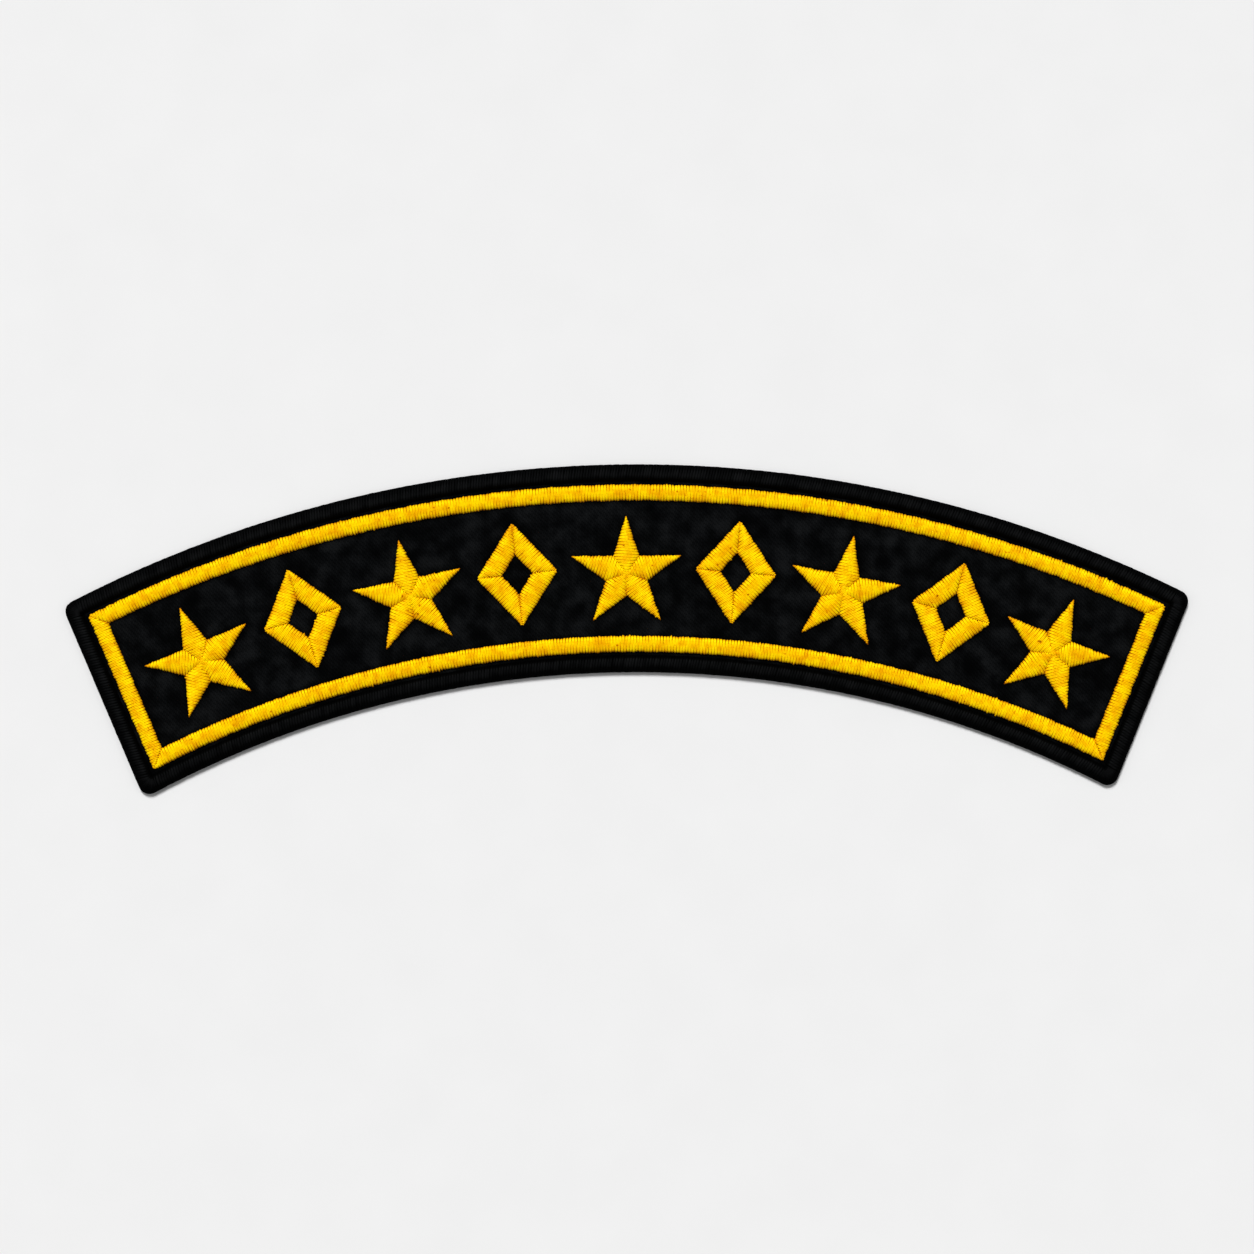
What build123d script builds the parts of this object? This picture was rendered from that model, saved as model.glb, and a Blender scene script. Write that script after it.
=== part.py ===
"""Embroidered rocker patch: a curved band of black twill with a whipped edge and yellow satin stitch.

Lengths are in millimetres and angles in degrees. The patch lies face up: X runs across it, the crown
of its arch points to +Y, and its flat back is at Z = 0. The origin is the middle of the box round it.
"""
import os
from math import asin, cos, degrees, radians, sin

from build123d import *

# The band seen from above. Its two long sides are arcs about one centre, and its ends are straight.
overall_width = 305.0
crown_radius = 335.0
band_width = 56.5
end_tilt = 22.5

# The whipped edge: a bead of black thread sewn round the edge of the cloth, which lies in its slot.
# Its crest and its foot are shares of its width, and its belly is a share of its height. The shoulder is
# a point of its inner slope, as shares of the slope's run from the crest and of its height over the cloth.
rim_width = 4.4
rim_height = 2.3
rim_slot_depth = 3.0
rim_under_thread = 0.3
rim_crest_share = 0.68
rim_foot_share = 0.16
rim_belly_share = 0.42
rim_shoulder_run = 0.55
rim_shoulder_height = 0.62

# The ground cloth, and its edge where the whipping presses it thin.
cloth_thickness = 1.2
pressed_thickness = 0.6

# Satin stitch: the line round the field, past a margin of bare cloth, and the strokes of the lozenges.
bare_margin = 1.2
line_width = 4.2
stroke_width = 5.3
satin_height = 0.85
satin_side = 0.35

# The row that fills the field: pairs of a star and a lozenge, evenly spaced, and one more star.
motif_pairs = 4
motif_margin = 4.4
end_margin = 4.6
lozenge_width = 22.0
star_crest = 0.95
star_middle = 0.75

# Clearance between two pieces that touch on the real patch.
gap = 0.05

os.makedirs("parts", exist_ok=True)
up = Vector(0, 0, 1)


def on_arc(radius, angle):
    """A point of an arc about the band's centre, at an angle from the middle line."""
    return Vector(radius * sin(radians(angle)), radius * cos(radians(angle)))


def end_angle(radius, reach):
    """The angle at which an arc meets the straight end that lies at this reach from the centre."""
    return end_tilt + degrees(asin(reach / radius))


# The whipped edge's crest runs to the centre of each rounded corner, and its outer side turns round it.
foot_radius = crown_radius - band_width
corner_radius = rim_width * rim_crest_share

# How far the straight ends lie from the arcs' centre, so that the rounded corners give the full width.
corner_centre_radius = crown_radius - corner_radius
corner_centre_angle = degrees(asin((overall_width / 2 - corner_radius) / corner_centre_radius))
end_reach = corner_radius + corner_centre_radius * sin(radians(corner_centre_angle - end_tilt))

# The lowest points of the band are on its two lower corners. The box's middle becomes Y = 0.
low_centre_radius = foot_radius + corner_radius
low_centre_angle = end_angle(low_centre_radius, end_reach - corner_radius)
lowest = on_arc(low_centre_radius, low_centre_angle).Y - corner_radius
to_origin = Pos(0, -(crown_radius + lowest) / 2, 0)

# The field inside the satin line, the level that the stitches sit on, and the turn between two of a
# star's five arms.
line_inset = rim_width + bare_margin
field_inset = line_inset + line_width
seat = cloth_thickness + gap
arm_turn = 360 / 5


def band_loop(inset, corner=0.0):
    """The band's outline moved inwards, as a closed wire that runs anticlockwise from the crown."""
    top = crown_radius - inset
    low = foot_radius + inset
    reach = end_reach - inset
    top_angle = end_angle(top - corner, reach - corner)
    low_angle = end_angle(low + corner, reach - corner)
    outward = Vector(-cos(radians(end_tilt)), -sin(radians(end_tilt))) * corner
    top_end = on_arc(top - corner, -top_angle) + outward
    low_end = on_arc(low + corner, -low_angle) + outward
    crown = ThreePointArc(on_arc(top, 0), on_arc(top, -top_angle / 2), on_arc(top, -top_angle))
    foot = ThreePointArc(on_arc(low, -low_angle), on_arc(low, -low_angle / 2), on_arc(low, 0))
    left = [crown, Line(top_end, low_end), foot]
    if corner > 0:
        left.insert(1, corner_arc(on_arc(top - corner, -top_angle), crown @ 1, top_end))
        left.insert(3, corner_arc(on_arc(low + corner, -low_angle), low_end, foot @ 0))
    right = [edge.mirror(Plane.YZ) for edge in reversed(left)]
    return Wire(left + right)


def corner_arc(centre, start, end):
    """The arc of a rounded corner about its centre."""
    radius = (start - centre).length
    middle = centre + (start + end - centre * 2).normalized() * radius
    return ThreePointArc(start, middle, end)


def start_plane(path):
    """The plane across an anticlockwise path at its start, with X inwards and Y up."""
    along = path % 0
    return Plane(origin=path @ 0, x_dir=up.cross(along), z_dir=along)


def satin_section(width):
    """A satin column cut across: a flat foot, low sides and a domed top, centred on the path."""
    half = width / 2
    side = seat + satin_side
    outline = [Line((-half, seat), (half, seat)), Line((half, seat), (half, side)),
               ThreePointArc((half, side), (0, seat + satin_height), (-half, side)),
               Line((-half, side), (-half, seat))]
    return Face(Wire(outline))


def rim_section():
    """The whipped edge cut across, from its outer side inwards, open to the slot for the cloth."""
    crest = rim_width * rim_crest_share
    belly = rim_height * rim_belly_share
    foot = rim_width * rim_foot_share
    slot_top = rim_under_thread + pressed_thickness + 2 * gap
    slot_end = rim_width - rim_slot_depth
    shoulder = (crest + (rim_width - crest) * rim_shoulder_run,
                seat + (rim_height - seat) * rim_shoulder_height)
    outline = [EllipticalCenterArc((foot, belly), foot, belly, 180),
               Line((foot, 0), (rim_width, 0)),
               Line((rim_width, 0), (rim_width, rim_under_thread)),
               Line((rim_width, rim_under_thread), (slot_end, rim_under_thread)),
               Line((slot_end, rim_under_thread), (slot_end, slot_top)),
               Line((slot_end, slot_top), (rim_width, slot_top)),
               Line((rim_width, slot_top), (rim_width, seat)),
               ThreePointArc((rim_width, seat), shoulder, (crest, rim_height)),
               EllipticalCenterArc((crest, belly), crest, rim_height - belly, 90)]
    return Face(Wire(outline))


def merrow_edge():
    """The whipped edge: its section carried along the sides, and its outer part turned round each corner."""
    path = band_loop(corner_radius)
    section = start_plane(path) * Pos(-corner_radius, 0) * rim_section()
    return sweep(section, path=path, transition=Transition.ROUND)


def base_cloth():
    """The ground cloth: a plate inside the whipped edge, with a thin tongue that enters its slot."""
    plate = extrude(Face(band_loop(rim_width + gap)), cloth_thickness)
    tongue_inset = rim_width - rim_slot_depth + gap
    tongue_corner = max(corner_radius - tongue_inset, 0)
    tongue = extrude(Face(band_loop(tongue_inset, tongue_corner)), pressed_thickness)
    return plate + Pos(0, 0, rim_under_thread + gap) * tongue


def frame_line():
    """The line of satin stitch round the field, with mitred corners."""
    path = band_loop(line_inset + line_width / 2)
    section = start_plane(path) * satin_section(line_width)
    return sweep(section, path=path, transition=Transition.RIGHT)


def star(height):
    """A star, its height centred on the origin: each arm is a ridge that ends in a point."""
    tip_radius = star_tip_radius(height)
    notch_radius = tip_radius * cos(radians(arm_turn)) / cos(radians(arm_turn / 2))
    low = Vector(0, 0, seat)
    side = Vector(0, 0, seat + satin_side)
    centre = Vector(0, height / 2 - tip_radius)
    middle = centre + Vector(0, 0, seat + star_middle)
    faces = []
    outline = []
    for arm in range(round(360 / arm_turn)):
        tip = centre + on_arc(tip_radius, arm * arm_turn)
        before = centre + on_arc(notch_radius, (arm - 0.5) * arm_turn)
        after = centre + on_arc(notch_radius, (arm + 0.5) * arm_turn)
        ridge = (before + after) / 2 + Vector(0, 0, seat + star_crest)
        outline += [tip, after]
        faces += [facet(middle, ridge, before + side), facet(middle, after + side, ridge),
                  facet(before + side, ridge, tip + side), facet(ridge, after + side, tip + side)]
    for here, there in zip(outline, outline[1:] + outline[:1]):
        faces.append(facet(here + low, here + side, there + side, there + low))
    faces.append(facet(*[point + low for point in outline]))
    return Solid(Shell(faces))


def star_tip_radius(height):
    """How far a star's tips lie from its centre, from its height when one arm points up."""
    return height / (1 + cos(radians(arm_turn / 2)))


def facet(*corners):
    """A flat face through its corners."""
    return Face(Wire.make_polygon(corners))


def lozenge(height, width):
    """A lozenge of four straight strokes of satin stitch, mitred at its corners and open inside."""
    to_side = height * width / 2 / (height ** 2 + width ** 2) ** 0.5
    share = 1 - stroke_width / 2 / to_side
    top = Vector(0, height / 2 * share)
    right = Vector(width / 2 * share, 0)
    start = (top + right) / 2
    path = Wire.make_polygon([start, top, -right, -top, right])
    section = start_plane(path) * satin_section(stroke_width)
    return sweep(section, path=path, transition=Transition.RIGHT)


def motif_row():
    """Stars and lozenges by turns along the field's middle arc, with a star at each end."""
    height = band_width - 2 * (field_inset + motif_margin)
    middle_radius = crown_radius - band_width / 2
    star_width = 2 * star_tip_radius(height) * sin(radians(arm_turn))
    row_angle = end_angle(middle_radius, end_reach - field_inset - end_margin)
    centres_length = 2 * middle_radius * radians(row_angle) - star_width
    steps = 2 * motif_pairs
    pitch_angle = degrees(centres_length / steps / middle_radius)
    row = {}
    for step in range(steps + 1):
        is_star = step % 2 == 0
        shape = star(height) if is_star else lozenge(height, lozenge_width)
        name = f"star_{step // 2 + 1}" if is_star else f"lozenge_{step // 2 + 1}"
        row[name] = Rot(0, 0, (steps / 2 - step) * pitch_angle) * Pos(0, middle_radius, 0) * shape
    return row


parts = {"base_cloth": base_cloth(), "merrow_edge": merrow_edge(), "frame_line": frame_line()}
parts.update(motif_row())

for name, solid in parts.items():
    placed = to_origin * solid
    placed.label = name
    export_step(placed, f"parts/{name}.step")
    print(name, "solids", len(placed.solids()), "valid", placed.is_valid, "volume", round(placed.volume, 1))
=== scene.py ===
"""Embroidered rocker patch: black twill, a whipped black edge, and yellow satin stitch, thread by thread.

Everything is in metres in the part's own frame: X across the patch, +Y towards the crown of its arch, Z out
of its face, and the flat back at Z = 0.
"""
import math

import bpy
import numpy as np
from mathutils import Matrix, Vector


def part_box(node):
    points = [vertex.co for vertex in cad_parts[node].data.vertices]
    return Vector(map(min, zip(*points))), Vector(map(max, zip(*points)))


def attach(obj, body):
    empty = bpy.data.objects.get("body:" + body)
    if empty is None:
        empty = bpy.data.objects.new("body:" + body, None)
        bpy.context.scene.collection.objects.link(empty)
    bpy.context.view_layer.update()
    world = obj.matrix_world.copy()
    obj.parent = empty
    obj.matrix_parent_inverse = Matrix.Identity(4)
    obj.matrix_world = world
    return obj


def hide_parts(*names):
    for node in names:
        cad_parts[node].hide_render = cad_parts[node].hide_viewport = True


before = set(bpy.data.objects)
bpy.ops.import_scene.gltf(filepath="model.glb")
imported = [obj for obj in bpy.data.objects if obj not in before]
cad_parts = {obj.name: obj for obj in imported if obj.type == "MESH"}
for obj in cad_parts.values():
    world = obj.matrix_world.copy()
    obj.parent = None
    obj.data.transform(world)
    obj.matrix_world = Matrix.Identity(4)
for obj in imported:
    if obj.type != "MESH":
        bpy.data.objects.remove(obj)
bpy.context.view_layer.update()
mm = 0.001

# Ground cloth
# A curved band of black cotton twill on its backing, cut to shape and laid flat. The stitching pulls it
# down along every edge of the embroidery, and the whipped edge presses its rim thin.
crown_radius = 335.0 * mm
band_width = 56.5 * mm
end_tilt = math.radians(22.5)
rim_width = 4.4 * mm
crest_share = 0.68
corner_radius = rim_width * crest_share
cloth_inset = 1.9 * mm
line_inset = 5.6 * mm
line_width = 4.2 * mm
motif_margin = 4.4 * mm
end_margin = 4.6 * mm
motif_pairs = 4
star_arms = 5
lozenge_width = 22.0 * mm
stroke_width = 5.3 * mm
yarn_pitch = 0.40 * mm
pressed_back = 0.4 * mm
pressed_top = 0.9 * mm
pressed_reach = 0.5 * mm
pucker_depth = 0.16 * mm
pucker_reach = 0.8 * mm
hollow_shade_reach = 0.6 * mm
ripple_height = 0.02 * mm
ripples = [((510, 190), 1), ((-230, 430), 0), ((330, -620), 2)]
cloth_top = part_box("base_cloth")[1].z
rim_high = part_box("merrow_edge")[1]
foot_radius = crown_radius - band_width
middle_radius = crown_radius - band_width / 2
centre_y = rim_high.y - crown_radius
corner_centre = crown_radius - corner_radius
end_reach = corner_radius + corner_centre * math.sin(
    math.asin((rim_high.x - corner_radius) / corner_centre) - end_tilt)
field_inset = line_inset + line_width
motif_height = band_width - 2 * (field_inset + motif_margin)
arm_turn = math.radians(360 / star_arms)
tip_radius = motif_height / (1 + math.cos(arm_turn / 2))
notch_radius = tip_radius * math.cos(arm_turn) / math.cos(arm_turn / 2)
draw = np.random.default_rng(12)


def on_arc(radius, angle):
    """Plan points at a radius about the arcs' common centre, at an angle from the middle line."""
    return np.stack(np.broadcast_arrays(radius * np.sin(angle), centre_y + radius * np.cos(angle)), -1)


def end_angle(radius, inset):
    """Angle at which an arc meets the straight end, moved in by the inset: tilt + asin(reach / radius)."""
    return end_tilt + np.arcsin((end_reach - inset) / radius)


def rim_distance(points):
    """How far in plan points lie inside the band: the least of their distances to its four sides."""
    from_centre = points - (0, centre_y)
    radius = np.linalg.norm(from_centre, axis=-1)
    to_end = end_reach - (np.abs(from_centre[..., 0]) * math.cos(end_tilt)
                          - from_centre[..., 1] * math.sin(end_tilt))
    return np.minimum(np.minimum(radius - foot_radius, crown_radius - radius), to_end)


def segment_distance(points, corners):
    """Least distance of points to a closed outline: to each side's nearest point, kept between its ends."""
    run = np.roll(corners, -1, 0) - corners
    share = np.einsum("psk,sk->ps", points[:, None] - corners, run) / np.sum(run * run, 1)
    nearest = corners + np.clip(share, 0, 1)[..., None] * run
    return np.linalg.norm(points[:, None] - nearest, axis=2).min(1)


def star_corners():
    """The corners of an upright star: its tips and notches by turns, clockwise from the top."""
    order = np.arange(2 * star_arms)
    angle = order * arm_turn / 2
    radius = np.where(order % 2 == 0, tip_radius, notch_radius)
    return np.stack([radius * np.sin(angle), radius * np.cos(angle) + motif_height / 2 - tip_radius], 1)


def lozenge_corners(inset):
    """The corners of an upright lozenge whose sides are moved in by the inset, clockwise from the top."""
    to_side = motif_height * lozenge_width / 2 / math.hypot(motif_height, lozenge_width)
    tall, wide = np.array([motif_height, lozenge_width]) / 2 * (1 - inset / to_side)
    return np.array([(0, tall), (wide, 0), (0, -tall), (-wide, 0)])


def place_motif(points, angle):
    """Plan points of an upright motif, turned by its angle and carried to its place on the middle arc."""
    turn = np.array([[math.cos(angle), -math.sin(angle)], [math.sin(angle), math.cos(angle)]])
    return points @ turn + on_arc(middle_radius, angle)


def grid_faces(rows, columns, wrap=False):
    """Quads of a grid of points in rows: (i, j), (i, j + 1), (i + 1, j + 1), (i + 1, j)."""
    row = np.arange(rows - 1)[:, None] * columns
    column = np.arange(columns if wrap else columns - 1)[None]
    right = (column + 1) % columns
    corners = [row + column, row + right, row + columns + right, row + columns + column]
    return np.stack(np.broadcast_arrays(*corners), -1).reshape(-1, 4)


def mesh_piece(name, points, faces, material, shade, uv=None):
    """One object from points, their shades and a list of face arrays, each of one count of corners."""
    mesh = bpy.data.meshes.new(name)
    corners = np.concatenate([f.ravel() for f in faces]).astype(np.int32)
    counts = np.concatenate([np.full(len(f), f.shape[1]) for f in faces])
    mesh.vertices.add(len(points))
    mesh.vertices.foreach_set("co", points.astype(np.float32).ravel())
    mesh.loops.add(len(corners))
    mesh.loops.foreach_set("vertex_index", corners)
    mesh.polygons.add(len(counts))
    mesh.polygons.foreach_set("loop_start", (np.cumsum(counts) - counts).astype(np.int32))
    mesh.polygons.foreach_set("use_smooth", np.ones(len(counts), bool))
    mesh.attributes.new("shade", "FLOAT", "POINT").data.foreach_set("value", shade.astype(np.float32))
    if uv is not None:
        mesh.uv_layers.new(name="thread").data.foreach_set("uv", uv.astype(np.float32).ravel())
    mesh.update(calc_edges=True)
    mesh.validate()
    mesh.materials.append(material)
    piece = bpy.data.objects.new(name, mesh)
    bpy.context.scene.collection.objects.link(piece)
    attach(piece, "root")
    return piece


def fabric_material(name, roughness, specular, tint):
    """A new material with an even finish on its shader's own sockets, and the shader to build on."""
    material = bpy.data.materials.new(name)
    material.use_nodes = True
    shader = material.node_tree.nodes["Principled BSDF"]
    shader.inputs["Roughness"].default_value = roughness
    shader.inputs["Specular IOR Level"].default_value = specular
    shader.inputs["Specular Tint"].default_value = (*tint, 1)
    return material, shader


def worked_out(shader, operation, *values):
    """The result of one Math node. Each value is a number or another node's output."""
    tree = shader.id_data
    node = tree.nodes.new("ShaderNodeMath")
    node.operation = operation
    for socket, value in zip(node.inputs, values):
        if isinstance(value, bpy.types.NodeSocket):
            tree.links.new(value, socket)
        else:
            socket.default_value = value
    return node.outputs[0]


def noise(shader, size, detail):
    """Soft noise from 0 to 1 with patches of about this size, in metres of the piece's own coordinates."""
    tree = shader.id_data
    place = tree.nodes.new("ShaderNodeTexCoord").outputs["Object"]
    node = tree.nodes.new("ShaderNodeTexNoise")
    node.inputs["Scale"].default_value = 1 / size
    node.inputs["Detail"].default_value = detail
    tree.links.new(place, node.inputs["Vector"])
    return node.outputs["Fac"]


def split_axes(shader, vector):
    """The three axes of a vector, as the outputs X, Y and Z."""
    node = shader.id_data.nodes.new("ShaderNodeSeparateXYZ")
    shader.id_data.links.new(vector, node.inputs[0])
    return node.outputs


def own_place(shader):
    """Each point's place in the piece's own coordinates, as the outputs X, Y and Z."""
    return split_axes(shader, shader.id_data.nodes.new("ShaderNodeTexCoord").outputs["Object"])


def colour_from(shader, value, stops):
    """Base colour from a value from 0 to 1, through a ramp of (place, colour) stops."""
    tree = shader.id_data
    ramp = tree.nodes.new("ShaderNodeValToRGB")
    ramp.color_ramp.elements[0].position = stops[0][0]
    ramp.color_ramp.elements[0].color = (*stops[0][1], 1)
    ramp.color_ramp.elements[1].position = stops[-1][0]
    ramp.color_ramp.elements[1].color = (*stops[-1][1], 1)
    for position, colour in stops[1:-1]:
        ramp.color_ramp.elements.new(position).color = (*colour, 1)
    tree.links.new(value, ramp.inputs["Fac"])
    tree.links.new(ramp.outputs["Color"], shader.inputs["Base Color"])


def raised_by(shader, height, depth):
    """Bump from a height from 0 to 1 that stands for this depth in metres."""
    tree = shader.id_data
    bump = tree.nodes.new("ShaderNodeBump")
    bump.inputs["Strength"].default_value = 1.0
    bump.inputs["Distance"].default_value = depth
    tree.links.new(height, bump.inputs["Height"])
    tree.links.new(bump.outputs["Normal"], shader.inputs["Normal"])


def shade_of(shader):
    """Each point's shade value from the mesh: its thread's own tone, lowered on the underlay as painted
    shade, or on the cloth how deep it lies in a hollow, which the twill paints as shade.
    """
    node = shader.id_data.nodes.new("ShaderNodeAttribute")
    node.attribute_name = "shade"
    return node.outputs["Fac"]


def twill_material():
    """Black twill. Each yarn runs up the cloth, rounded across as 1 - (2 f - 1)^2. It goes over two crossings
    and under the third, its height being sin(pi t)^0.6 with t from 0 to 1 over the three, and one crossing
    later than the yarn beside it. Wefts fill the dips. The dye is uneven. The colour is paler on the yarns'
    crests, a painted highlight, and darker in the hollows beside the stitching and the whipped edge, painted
    shade."""
    material, shader = fabric_material("black_twill", 0.8, 0.05, (0.8, 0.9, 1.0))
    place = own_place(shader)
    sway = worked_out(shader, "MULTIPLY", noise(shader, 3 * mm, 2.0), 0.5)
    warp = worked_out(shader, "MULTIPLY_ADD", place["X"], 1 / yarn_pitch, sway)
    weft = worked_out(shader, "MULTIPLY_ADD", place["Y"], 1 / yarn_pitch, sway)
    rounded = []
    for yarns in (warp, weft):
        off_middle = worked_out(shader, "MULTIPLY_ADD", worked_out(shader, "FRACT", yarns), 2.0, -1.0)
        fallen = worked_out(shader, "POWER", worked_out(shader, "ABSOLUTE", off_middle), 2.0)
        rounded.append(worked_out(shader, "SUBTRACT", 1.0, fallen))
    stepped = worked_out(shader, "ADD", weft, worked_out(shader, "FLOOR", warp))
    crossing = worked_out(shader, "FRACT", worked_out(shader, "DIVIDE", stepped, 3.0))
    wave = worked_out(shader, "SINE", worked_out(shader, "MULTIPLY", crossing, math.pi))
    float_over = worked_out(shader, "POWER", wave, 0.6)
    warp_height = worked_out(shader, "MULTIPLY", rounded[0], float_over)
    weft_height = worked_out(shader, "MULTIPLY", rounded[1], 0.55)
    height = worked_out(shader, "MAXIMUM", warp_height, weft_height)
    value = worked_out(shader, "MULTIPLY_ADD", noise(shader, 5 * mm, 6.0), 2.2, -0.88)
    # Paler where the yarns stand high: painted highlight on their crests, painted shade in the dips.
    value = worked_out(shader, "MULTIPLY_ADD", height, 0.5, value)
    # Darker by the mesh's shade value: painted shade in the hollows beside the stitching and the whipped
    # edge.
    value = worked_out(shader, "MULTIPLY_ADD", shade_of(shader), -0.45, value)
    colour_from(shader, value, [(0.15, (0.0005, 0.0005, 0.0006)), (0.55, (0.0046, 0.0049, 0.0053)),
                                (0.95, (0.0115, 0.0122, 0.0130))])
    raised_by(shader, height, 0.14 * mm)
    return material


star_half_angle = tip_radius * math.sin(arm_turn) / middle_radius
row_angle = end_angle(middle_radius, field_inset + end_margin) - star_half_angle
motif_angles = np.linspace(-row_angle, row_angle, 2 * motif_pairs + 1)
rows, columns = 88, 470
radius = np.linspace(foot_radius + cloth_inset, crown_radius - cloth_inset, rows)[:, None]
plan = on_arc(radius, np.linspace(-1, 1, columns) * end_angle(radius, cloth_inset)).reshape(-1, 2)
inside = rim_distance(plan)
outlines = [place_motif(star_corners(), angle) for angle in motif_angles[::2]]
outlines += [place_motif(lozenge_corners(inset), angle) for angle in motif_angles[1::2]
             for inset in (0, stroke_width)]
beside = np.min([segment_distance(plan, corners) for corners in outlines], 0)
beside = np.minimum(beside, np.minimum(np.abs(inside - line_inset), np.abs(inside - field_inset)))
swell = sum(np.sin(plan @ wave + phase) for wave, phase in ripples)
ramp = np.clip((inside - rim_width + pressed_reach) / (2 * pressed_reach), 0, 1)
ramp = ramp * ramp * (3 - 2 * ramp)
pucker = pucker_depth * np.exp(-beside / pucker_reach)
top = pressed_top + (cloth_top - pressed_top + ripple_height * swell - pucker) * ramp
back = pressed_back * (1 - ramp)
points = np.concatenate([np.column_stack([plan, top]), np.column_stack([plan, back])])
face = grid_faces(rows, columns)
index = np.arange(rows * columns).reshape(rows, columns)
ring = np.concatenate([index[0, :-1], index[:-1, -1], index[-1, :0:-1], index[:0:-1, 0]])
beneath = ring + rows * columns
wall = np.stack([ring, beneath, np.roll(beneath, -1), np.roll(ring, -1)], 1)
# How deep the cloth lies in a hollow beside the stitching or the whipped edge; the twill darkens it there as
# painted shade.
hollow_shade = np.exp(-np.minimum(beside, np.abs(inside - rim_width)) / hollow_shade_reach)
cloth = mesh_piece("ground_cloth", points, [face, face[:, ::-1] + rows * columns, wall],
                   twill_material(), np.concatenate([hollow_shade, np.zeros(len(plan))]))
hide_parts("base_cloth")

# Frame line
# A closed line of yellow rayon in satin stitch, mitred at its four corners. Each thread arches from one
# side of the line to the other and goes down into the cloth there, over an underlay of broader threads.
thread_pitch = 0.40 * mm
thread_half_width = 0.235 * mm
thread_half_height = 0.17 * mm
arch_squareness = 2.7
sunk = 0.2 * mm
settled_length = 1.2 * mm
zigzag_reach = 0.07 * mm
wander_reach = 0.045 * mm
end_scatter = 0.05 * mm
stray_reach = 0.22 * mm
stray_share = 0.012
level_scatter = 0.018 * mm
pitch_scatter = 0.015 * mm
least_stitch = 0.35 * mm
thread_stations = 9
underlay_every = 3
underlay_half_width = 0.75 * mm
underlay_inset = 0.4 * mm
underlay_level = 0.8
# The underlay threads lie under the top stitches and are a little darker: painted shade.
underlay_painted_shade = -0.3
underlay_stations = 5


def thread_tubes(paths, sideways, half_width, half_height, shade, sides=6):
    """Closed tubes along many paths at once. A section's point is path + sideways * half width * cos(t) +
    (run x sideways) * half height * sin(t), and t goes once round. The half width is one number, or one for
    each point of the paths. The UV goes round and along."""
    count, stations = paths.shape[:2]
    run = np.gradient(paths, axis=1)
    run /= np.linalg.norm(run, axis=2, keepdims=True)
    side = sideways - run * np.sum(sideways * run, 2, keepdims=True)
    side /= np.linalg.norm(side, axis=2, keepdims=True)
    rise = np.cross(run, side)
    turn = np.arange(sides) * 2 * math.pi / sides
    wide = np.broadcast_to(half_width, (count, stations))[..., None, None]
    section = (wide * np.cos(turn)[:, None] * side[:, :, None]
               + half_height * np.sin(turn)[:, None] * rise[:, :, None])
    points = (paths[:, :, None] + section).reshape(-1, 3)
    first = np.arange(count)[:, None, None] * stations * sides
    quads = (grid_faces(stations, sides, wrap=True) + first).reshape(-1, 4)
    corner = np.arange(sides)
    caps = (np.stack([corner[::-1], corner + (stations - 1) * sides]) + first).reshape(-1, sides)
    step = np.linalg.norm(np.diff(paths, axis=1), axis=2)
    along = np.concatenate([np.zeros((count, 1)), np.cumsum(step, 1)], 1) / (2 * np.max(half_width))
    around = corner[:, None] + (0, 1, 1, 0)
    round_uv = np.broadcast_to(around / sides, (count, stations - 1, sides, 4))
    here, there = along[:, :-1], along[:, 1:]
    along_uv = np.broadcast_to(np.stack([here, here, there, there], -1)[:, :, None], round_uv.shape)
    quad_uv = np.stack([round_uv, along_uv], -1).reshape(-1, 2)
    cap_uv = np.zeros((caps.size, 2))
    return {"points": points, "faces": [quads, caps], "uv": [quad_uv, cap_uv],
            "shade": np.repeat(shade, stations * sides)}


def thread_piece(name, bundles, material):
    """One object from several bundles of threads, each one's faces moved on past the points before it."""
    before = np.cumsum([0] + [len(b["points"]) for b in bundles])
    faces = [f + start for b, start in zip(bundles, before) for f in b["faces"]]
    return mesh_piece(name, np.concatenate([b["points"] for b in bundles]), faces, material,
                      np.concatenate([b["shade"] for b in bundles]),
                      np.concatenate([uv for b in bundles for uv in b["uv"]]))


def arched(starts, ends, height, stations):
    """Paths that arch between plan points. With w from 0 to pi, a path goes from -1 to 1 across as
    -sgn(cos w) |cos w|^(2 / n) and lifts as (sin w)^(2 / n), from under the cloth's top to its height."""
    wave = np.linspace(0, math.pi, stations)
    across = -np.sign(np.cos(wave)) * np.abs(np.cos(wave)) ** (2 / arch_squareness)
    lift = np.clip(np.sin(wave), 0, 1) ** (2 / arch_squareness)
    plan = (starts + ends)[:, None] / 2 + (ends - starts)[:, None] / 2 * across[:, None]
    level = cloth_top - sunk + (height + sunk)[:, None] * lift
    return np.concatenate([plan, level[..., None]], 2)


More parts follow.
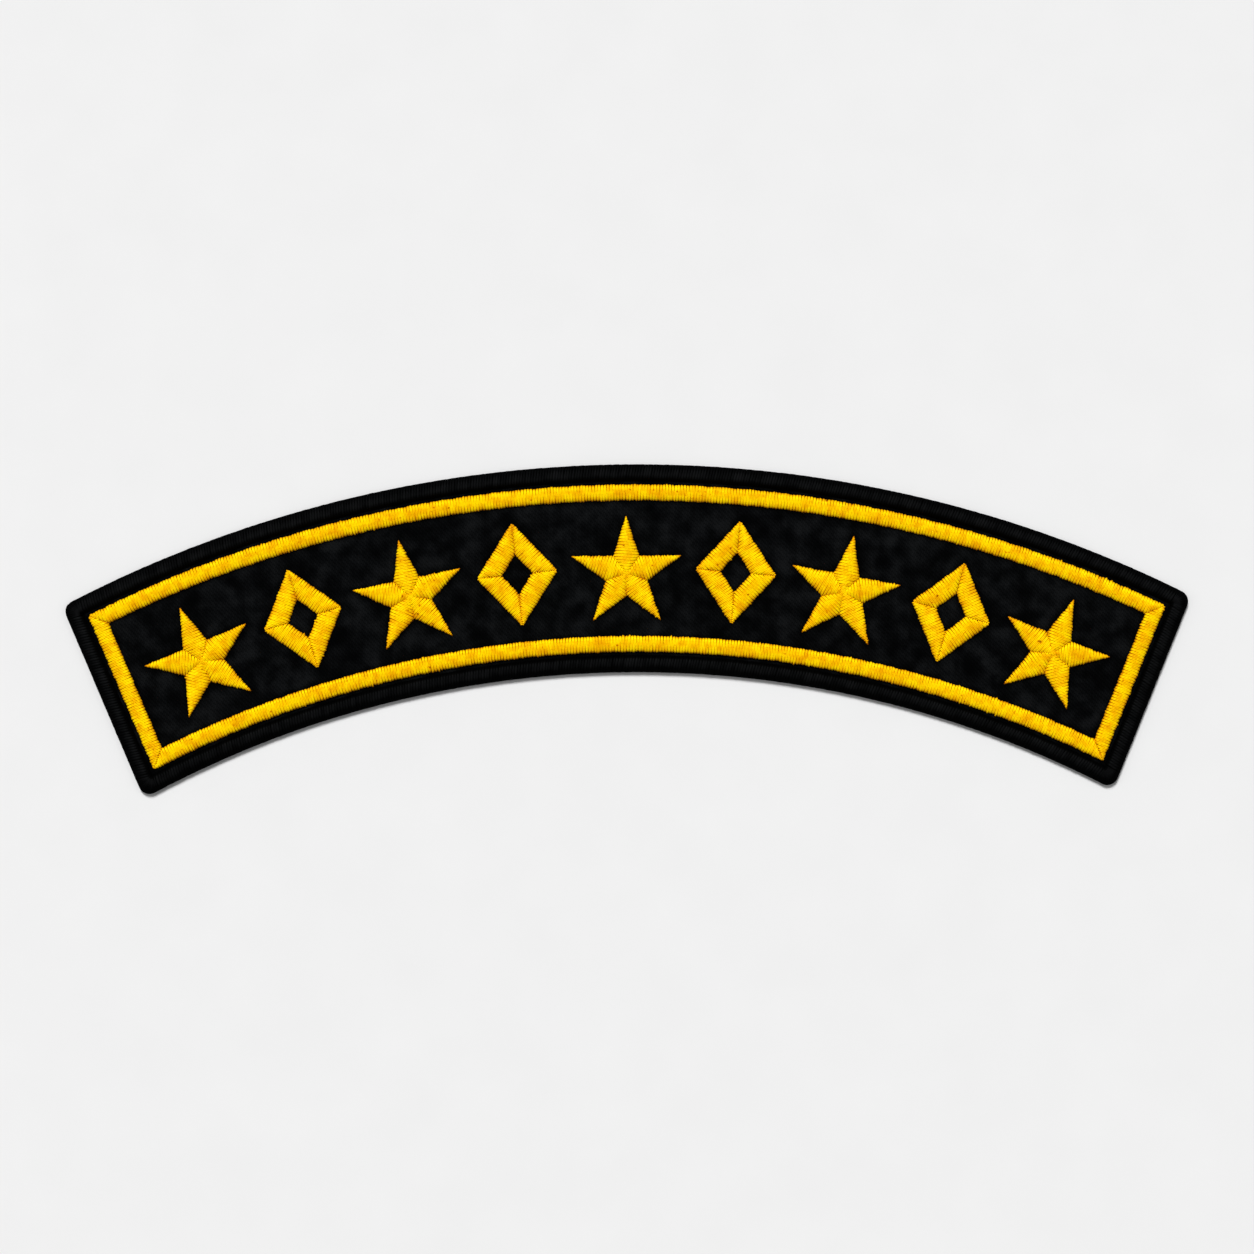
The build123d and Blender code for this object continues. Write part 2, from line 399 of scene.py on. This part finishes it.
def satin(starts, ends, crest, least=0.0):
    """Satin stitch from starts to ends, and its underlay. Short stitches lie lower: the height is
    crest * (1 - exp(-length / settled length)), or the least share of the crest where that is more. The two
    edges wander by the sum of two slow waves. Each stitch ends a little short of them or past them, and a few
    stray further."""
    way = ends - starts
    length = np.linalg.norm(way, axis=1)
    way = way / length[:, None]
    beside = np.stack([-way[:, 1], way[:, 0]], 1)
    height = crest * np.maximum(1 - np.exp(-length / settled_length), least)
    count = len(starts)
    order = np.arange(count)
    zigzag = np.where(order % 2, 1, -1)[:, None] * zigzag_reach * beside
    phase = draw.uniform(0, 2 * math.pi, (2, 2, 1))
    wander = wander_reach * (np.sin(0.33 * order + phase[0]) + np.sin(0.79 * order + phase[1]))
    scatter = draw.normal(0, end_scatter, (2, count))
    spread = wander + scatter + stray_reach * (draw.random((2, count)) < stray_share)
    level = height - thread_half_height + draw.normal(0, level_scatter, count)
    threads = arched(starts - zigzag - spread[0][:, None] * way, ends + zigzag + spread[1][:, None] * way,
                     level, thread_stations)
    sideways = np.pad(beside, ((0, 0), (0, 1)))[:, None]
    top = thread_tubes(threads, sideways, thread_half_width, thread_half_height, draw.random(count))
    some = slice(1, None, underlay_every)
    drawn_in = np.minimum(0.12 * length, underlay_inset)[some, None] * way[some]
    under = arched(starts[some] + drawn_in, ends[some] - drawn_in,
                   underlay_level * height[some] - thread_half_height, underlay_stations)
    broad = thread_tubes(under, sideways[some], underlay_half_width, thread_half_height,
                         np.full(len(under), underlay_painted_shade), 4)
    return [top, broad]


def across_field(corners, along):
    """Stitches over a convex field, at right angles to a direction. Each is cut off where it leaves the
    field: at the greatest lower and the least upper bound that the field's sides set."""
    along = along / np.linalg.norm(along)
    across = np.array([-along[1], along[0]])
    side = np.roll(corners, -1, 0) - corners
    area = np.sum(corners[:, 0] * np.roll(corners[:, 1], -1) - corners[:, 1] * np.roll(corners[:, 0], -1))
    outward = np.stack([side[:, 1], -side[:, 0]], 1) * np.sign(area)
    low, high = np.min(corners @ along), np.max(corners @ along)
    place = np.arange(low + thread_pitch / 3, high, thread_pitch)
    place = place + draw.normal(0, pitch_scatter, place.shape)
    slope = outward @ across
    bound = (np.sum(outward * corners, 1) - place[:, None] * (outward @ along)) / slope
    lower = np.where(slope < 0, bound, -1).max(1)
    upper = np.where(slope > 0, bound, 1).min(1)
    kept = upper - lower > least_stitch
    foot = place[kept, None] * along
    return foot + lower[kept, None] * across, foot + upper[kept, None] * across


def across_arc(outer, inner):
    """Stitches over an arc of the line, along its radii, from its outer to its inner radius. Past the inner
    corner each one ends on the mitre, where its ray meets the line from the outer to the inner corner."""
    outer_angle, inner_angle = end_angle(outer, line_inset), end_angle(inner, field_inset)
    count = round(2 * outer_angle * (outer + inner) / 2 / thread_pitch)
    angle = np.linspace(-outer_angle, outer_angle, count + 1)[:-1] + outer_angle / count
    angle = angle + draw.normal(0, pitch_scatter, count) / outer
    first = np.array([math.sin(outer_angle), math.cos(outer_angle)]) * outer
    mitre = np.array([math.sin(inner_angle), math.cos(inner_angle)]) * inner - first
    ray = np.stack([np.sin(np.abs(angle)), np.cos(angle)], 1)
    met = (first[0] * mitre[1] - first[1] * mitre[0]) / (ray[:, 0] * mitre[1] - ray[:, 1] * mitre[0])
    until = np.where(np.abs(angle) > inner_angle, met, inner)
    kept = np.abs(until - outer) > least_stitch
    return on_arc(outer, angle[kept]), on_arc(until[kept], angle[kept])


def spun(shader, depth):
    """A thread's relief from its own UV, and its filaments. Two plies twist round it as |sin(pi t)| with
    t = 2 u + v / 2, and the filaments are noise at (5 t, v / 5), so they follow the plies. It gives back u
    and the filaments."""
    tree = shader.id_data
    uv = tree.nodes.new("ShaderNodeUVMap")
    uv.uv_map = "thread"
    axes = split_axes(shader, uv.outputs["UV"])
    around, along = axes["X"], axes["Y"]
    twist = worked_out(shader, "MULTIPLY_ADD", along, 0.5, worked_out(shader, "MULTIPLY", around, 2.0))
    wave = worked_out(shader, "SINE", worked_out(shader, "MULTIPLY", twist, math.pi))
    ply = worked_out(shader, "ABSOLUTE", wave)
    drawn_out = tree.nodes.new("ShaderNodeCombineXYZ")
    tree.links.new(worked_out(shader, "MULTIPLY", twist, 5.0), drawn_out.inputs["X"])
    tree.links.new(worked_out(shader, "MULTIPLY", along, 0.2), drawn_out.inputs["Y"])
    filaments = tree.nodes.new("ShaderNodeTexNoise")
    filaments.inputs["Scale"].default_value = 1.0
    filaments.inputs["Detail"].default_value = 2.0
    tree.links.new(drawn_out.outputs[0], filaments.inputs["Vector"])
    raised_by(shader, worked_out(shader, "ADD", ply, filaments.outputs["Fac"]), depth)
    return around, filaments.outputs["Fac"]


def rayon_material():
    """Yellow rayon: the colour follows each thread's shade value, its filaments and soft mottling. It deepens
    towards the cloth and at the thread's sides and is palest on the thread's top, which is painted shade and
    painted highlight, and it darkens in a few small spots that stand for holes the needle left, which is
    painted shade with no hole in the mesh."""
    material, shader = fabric_material("yellow_rayon", 0.40, 0.65, (1.0, 0.95, 0.03))
    around, filaments = spun(shader, 0.02 * mm)
    rise = 1.2 * mm
    # Palest on the thread's top, deeper at its sides and towards the cloth: painted highlight and painted
    # shade.
    lift = worked_out(shader, "MULTIPLY_ADD", own_place(shader)["Z"], 1 / rise, -cloth_top / rise)
    upward = worked_out(shader, "SINE", worked_out(shader, "MULTIPLY", around, 2 * math.pi))
    value = worked_out(shader, "MULTIPLY_ADD", upward, 0.2, worked_out(shader, "MINIMUM", lift, 0.5))
    value = worked_out(shader, "MULTIPLY_ADD", shade_of(shader), 0.2, value)
    value = worked_out(shader, "MULTIPLY_ADD", noise(shader, 2.5 * mm, 4.0), 1.7, value)
    value = worked_out(shader, "MULTIPLY_ADD", filaments, 0.4, value)
    # Small dark spots for needle holes: painted shade, the mesh has no holes there.
    past_edge = worked_out(shader, "ADD", noise(shader, 0.9 * mm, 0.0), -0.75)
    hole = worked_out(shader, "MAXIMUM", past_edge, 0.0)
    value = worked_out(shader, "MULTIPLY_ADD", hole, -8.0, value)
    value = worked_out(shader, "MULTIPLY", value, 0.5)
    colour_from(shader, value, [(0.20, (0.20, 0.05, 0.0005)), (0.50, (0.66, 0.24, 0.0005)),
                                (0.75, (0.84, 0.42, 0.0005)), (0.91, (0.93, 0.57, 0.0005)),
                                (1.00, (0.97, 0.68, 0.001))])
    return material


yellow_rayon = rayon_material()
satin_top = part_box("frame_line")[1].z - cloth_top
outer_edge = [foot_radius + line_inset, crown_radius - line_inset]
inner_edge = [foot_radius + field_inset, crown_radius - field_inset]
line_columns = [across_arc(outer, inner) for outer, inner in zip(outer_edge, inner_edge)]
end_run = np.array([math.sin(end_tilt), math.cos(end_tilt)])
corners = np.concatenate([on_arc(np.array(outer_edge), end_angle(np.array(outer_edge), line_inset)),
                          on_arc(np.array(inner_edge), end_angle(np.array(inner_edge), field_inset))[::-1]])
line_columns += [across_field(corners, end_run), across_field(corners * (-1, 1), end_run * (-1, 1))]
bundles = [bundle for column in line_columns for bundle in satin(*column, satin_top)]
line = thread_piece("frame_line_satin", bundles, yellow_rayon)
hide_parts("frame_line")

# Lozenges
# Four open lozenges in the same satin stitch. Each has four straight columns that meet in mitres.
for number, angle in enumerate(motif_angles[1::2], 1):
    outer = place_motif(lozenge_corners(0), angle)
    inner = place_motif(lozenge_corners(stroke_width), angle)
    bundles = []
    for here in range(4):
        there = (here + 1) % 4
        column = across_field(np.array([outer[here], outer[there], inner[there], inner[here]]),
                              outer[there] - outer[here])
        bundles += satin(*column, satin_top)
    lozenge = thread_piece(f"lozenge_{number}_satin", bundles, yellow_rayon)
    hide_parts(f"lozenge_{number}")

# Stars
# Five stars in the same satin stitch. Each arm is a kite from the star's middle to its tip, and its
# threads lie across it, so the arms rise in ridges and meet in seams. Near the middle short stitches lie
# high too, over the arms' crossing ends.
star_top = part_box("star_1")[1].z - cloth_top
arm_overlap = 0.03
middle_reach = notch_radius * 0.8
middle_height = 0.8
for number, angle in enumerate(motif_angles[::2], 1):
    star = place_motif(star_corners(), angle)
    middle = star.mean(0)
    bundles = []
    for tip in range(0, 2 * star_arms, 2):
        past_middle = middle - (star[tip] - middle) * arm_overlap
        kite = np.array([star[tip], star[tip + 1], past_middle, star[tip - 1]])
        starts, ends = across_field(kite, star[tip] - middle)
        from_middle = ((starts + ends) / 2 - middle) @ (star[tip] - middle) / tip_radius
        least = np.where(from_middle < middle_reach, middle_height, 0.0)
        bundles += satin(starts, ends, star_top, least)
    star_piece = thread_piece(f"star_{number}_satin", bundles, yellow_rayon)
    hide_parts(f"star_{number}")

# Whipped edge
# Black polyester wrapped over the cut edge of the cloth, one thread beside the other. Along the outer side
# the wraps lock into a chain of slanting loops, one for each wrap, which looks like a thin cord.
wrap_pitch = 0.75 * mm
wrap_half_width = 0.43 * mm
wrap_half_height = 0.20 * mm
wrap_lean = 0.4 * mm
wrap_tuck = 0.15 * mm
loop_half_width = 0.22 * mm
loop_half_height = 0.16 * mm
chain_room = 0.15 * mm
belly_share = 0.42
foot_share = 0.16
least_width_share = 0.4
place_scatter = 0.03 * mm
inset_scatter = 0.02 * mm


def band_outline():
    """The band's rounded outline, clockwise from the crown's middle: how far along it each point is, the
    point, and the needle's hole that its wrap comes from. The holes lie in a line inside the rim, and at a
    corner of that line the wraps fan out from one hole."""
    top_turn = end_angle(crown_radius - corner_radius, corner_radius)
    low_turn = end_angle(foot_radius + corner_radius, corner_radius)
    end_bearing = math.pi / 2 + end_tilt
    crown_points, corner_points, foot_points = 700, 40, 600
    crown = np.linspace(0, top_turn, crown_points)
    top_corner = np.linspace(top_turn, end_bearing, corner_points)[1:]
    low_corner = np.linspace(end_bearing, low_turn + math.pi, corner_points)
    foot = np.linspace(low_turn, 0, foot_points)[1:]
    towards = [np.stack([np.sin(turn), np.cos(turn)], 1) for turn in (top_corner, low_corner)]
    top_arc, low_arc = crown_radius - rim_width, foot_radius + rim_width
    last_top, last_low = end_angle(top_arc, rim_width), end_angle(low_arc, rim_width)
    top_hole, low_hole = on_arc(top_arc, last_top), on_arc(low_arc, last_low)
    outward = rim_width * np.array([math.sin(end_bearing), math.cos(end_bearing)])
    points = np.concatenate([on_arc(crown_radius, crown),
                             on_arc(crown_radius - corner_radius, top_turn) + corner_radius * towards[0],
                             [top_hole + outward, low_hole + outward],
                             on_arc(foot_radius + corner_radius, low_turn) + corner_radius * towards[1],
                             on_arc(foot_radius, foot)])
    holes = np.concatenate([on_arc(top_arc, np.minimum(crown, last_top)),
                            np.tile(top_hole, (len(top_corner) + 1, 1)),
                            np.tile(low_hole, (len(low_corner) + 1, 1)),
                            on_arc(low_arc, np.minimum(foot, last_low))])
    points = np.concatenate([points, points[-2::-1] * (-1, 1)])
    holes = np.concatenate([holes, holes[-2::-1] * (-1, 1)])
    along = np.concatenate([[0], np.cumsum(np.linalg.norm(np.diff(points, axis=0), axis=1))])
    return along, points, holes


def beside_edge(along, inset, level):
    """Points at a distance inwards from the outline and at a level: outline + (hole - outline) * inset / rim
    width, which is more than the inset where a wrap fans out over a corner."""
    at, points, holes = outline
    along = along % at[-1]
    edge, hole = [np.stack([np.interp(along, at, line[:, axis]) for axis in range(2)], -1)
                  for line in (points, holes)]
    return np.concatenate([edge + (hole - edge) * (inset / rim_width)[..., None], level[..., None]], -1)


def wrap_section():
    """Stations of one wrap as (inset, level), from inside the cloth's top over the crest to its back: on a
    quarter ellipse to the crest, one down to the belly and one to the foot, and then along the back. Each
    ellipse is drawn in by half the thread, and on the outer side also by the room for the chain."""
    crest, belly, foot = rim_width * crest_share, rim_high.z * belly_share, rim_width * foot_share
    shrink = wrap_half_height
    turns = [np.radians(turn) for turn in ((0, 30, 60), (90, 115, 140, 162), (185, 225, 265))]
    centres = [(crest, cloth_top), (crest, belly), (foot, belly)]
    halves = [(rim_width - crest, rim_high.z - cloth_top), (crest - chain_room, rim_high.z - belly),
              (foot - chain_room, belly)]
    stations = [[(rim_width + wrap_tuck, cloth_top - sunk)]]
    for turn, centre, half in zip(turns, centres, halves):
        half = np.maximum(np.array(half) - shrink, 0.1 * mm)
        stations.append(np.array(centre) + half * np.stack([np.cos(turn), np.sin(turn)], 1))
    stations.append([(rim_width * 0.6, shrink), (rim_width + 0.1 * mm, shrink + wrap_tuck)])
    return np.concatenate(stations)


def edge_threads(count, inset, level, advance, half_width, half_height):
    """Threads round the rim: thread k's station is beside the outline at k * its length / count + the
    station's advance. A thread narrows where it and the next one draw together, by their distance there over
    the pitch, down to the least share of its width."""
    start = np.arange(count) * outline[0][-1] / count + draw.normal(0, place_scatter, count)
    along = start[:, None] + advance
    inset = inset + draw.normal(0, inset_scatter, (count, 1)) + 0 * along
    level = level + 0 * along
    paths = beside_edge(along, inset, level)
    sideways = beside_edge(along + 0.1 * mm, 0 * inset, level) - beside_edge(along, 0 * inset, level)
    apart = np.linalg.norm(beside_edge(along + wrap_pitch, inset, level) - paths, axis=2)
    half_widths = half_width * np.clip(apart / wrap_pitch, least_width_share, 1)
    return thread_tubes(paths, sideways, half_widths, half_height, draw.random(count))


def polyester_material():
    """Black polyester thread: near black, paler by each thread's shade, its filaments and soft mottling, and
    paler towards the crest of the bead, from nothing at the painted light's level to full over the rise: a
    painted highlight along the crest and painted shade on the bead's lower sides."""
    material, shader = fabric_material("black_polyester", 0.55, 0.03, (0.9, 0.95, 1.0))
    filaments = spun(shader, 0.05 * mm)[1]
    # Paler from this level up to the crest: painted highlight along the crest, painted shade lower on the
    # bead.
    painted_light_level, rise = 1.7 * mm, 0.6 * mm
    lift = worked_out(shader, "MULTIPLY_ADD", own_place(shader)["Z"], 1 / rise, -painted_light_level / rise)
    value = worked_out(shader, "MULTIPLY_ADD", worked_out(shader, "MAXIMUM", lift, 0.0), 0.8,
                       worked_out(shader, "MULTIPLY", shade_of(shader), 0.2))
    value = worked_out(shader, "MULTIPLY_ADD", noise(shader, 3 * mm, 3.0), 0.9, value)
    value = worked_out(shader, "MULTIPLY_ADD", filaments, 0.3, value)
    value = worked_out(shader, "MULTIPLY", value, 0.5)
    colour_from(shader, value, [(0.30, (0.0005, 0.0005, 0.0006)), (0.55, (0.0022, 0.0023, 0.0024)),
                                (0.75, (0.0076, 0.0078, 0.0081)), (0.95, (0.0125, 0.0128, 0.0133))])
    return material


outline = band_outline()
black_polyester = polyester_material()
section = wrap_section()
lean = np.interp(section[:, 0], (0, rim_width), (wrap_lean, -wrap_lean))
wrap_count = round(outline[0][-1] / wrap_pitch)
wraps = edge_threads(wrap_count, section[:, 0], section[:, 1], lean, wrap_half_width, wrap_half_height)
edge = thread_piece("whipped_edge", [wraps], black_polyester)
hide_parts("merrow_edge")

loop_inset = np.array([0.75, 0.40, 0.20, 0.16, 0.20, 0.42, 0.80]) * mm
loop_level = np.array([0.22, 0.30, 0.50, 0.80, 1.10, 1.36, 1.50]) * mm
loop_advance = np.array([-1.0, -0.85, -0.5, 0.0, 0.5, 0.85, 1.0]) * mm
loops = edge_threads(wrap_count, loop_inset, loop_level, loop_advance, loop_half_width, loop_half_height)
chain = thread_piece("edge_chain", [loops], black_polyester)

# Floor, light and camera
# The patch lies face up on a plain pale floor in an even room, which looks brighter than it lights, so that
# a low view meets no dark horizon. The soft key light comes from beyond its crown, and the camera looks
# straight down.
room_light = 0.22
room_seen = 0.68
floor_mesh = bpy.data.meshes.new("floor")
floor_level = -0.05 * mm
floor_corners = [(x, y, floor_level) for x, y in ((-9, -9), (9, -9), (9, 9), (-9, 9))]
floor_mesh.from_pydata(floor_corners, [], [(0, 1, 2, 3)])
floor = bpy.data.objects.new("floor", floor_mesh)
bpy.context.scene.collection.objects.link(floor)
floor_material, floor_shader = fabric_material("pale_floor", 0.9, 0.0, (1, 1, 1))
colour_from(floor_shader, noise(floor_shader, 20 * mm, 2.0),
            [(0.0, (0.78, 0.78, 0.78)), (1.0, (0.81, 0.81, 0.81))])
floor_mesh.materials.append(floor_material)


def facing_light(name, kind, place, power):
    """A light of a kind at a place, turned to face the origin. A sun's power is in watts a square metre."""
    light = bpy.data.lights.new(name, kind)
    light.energy = power
    lamp = bpy.data.objects.new(name, light)
    lamp.location = place
    lamp.rotation_euler = (-lamp.location).to_track_quat("-Z", "Y").to_euler()
    bpy.context.scene.collection.objects.link(lamp)
    return light


facing_light("key_light", "SUN", (-0.42, 1.93, 2.2), 2.7).angle = math.radians(19.5)
facing_light("left_fill", "AREA", (-1.3, 0.2, 1.0), 2).size = 1.0
facing_light("right_fill", "AREA", (1.3, 0.0, 1.0), 1.5).size = 1.0
world = bpy.data.worlds.new("pale_room")
world.use_nodes = True
room = world.node_tree.nodes["Background"]
room.inputs["Color"].default_value = (1, 1, 1, 1)
seen = world.node_tree.nodes.new("ShaderNodeLightPath").outputs["Is Camera Ray"]
strength = worked_out(room, "MULTIPLY_ADD", seen, room_seen - room_light, room_light)
world.node_tree.links.new(strength, room.inputs["Strength"])
bpy.context.scene.world = world
bpy.context.scene.view_settings.view_transform = "Standard"
bpy.context.scene.view_settings.look = "Medium High Contrast"

camera_data = bpy.data.cameras.new("camera")
camera_data.lens = 85
camera_data.dof.use_dof = False
camera = bpy.data.objects.new("camera", camera_data)
camera.location = (0, 0, 0.805)
camera.rotation_euler = (0, 0, math.radians(-0.54))
bpy.context.scene.collection.objects.link(camera)
bpy.context.scene.camera = camera
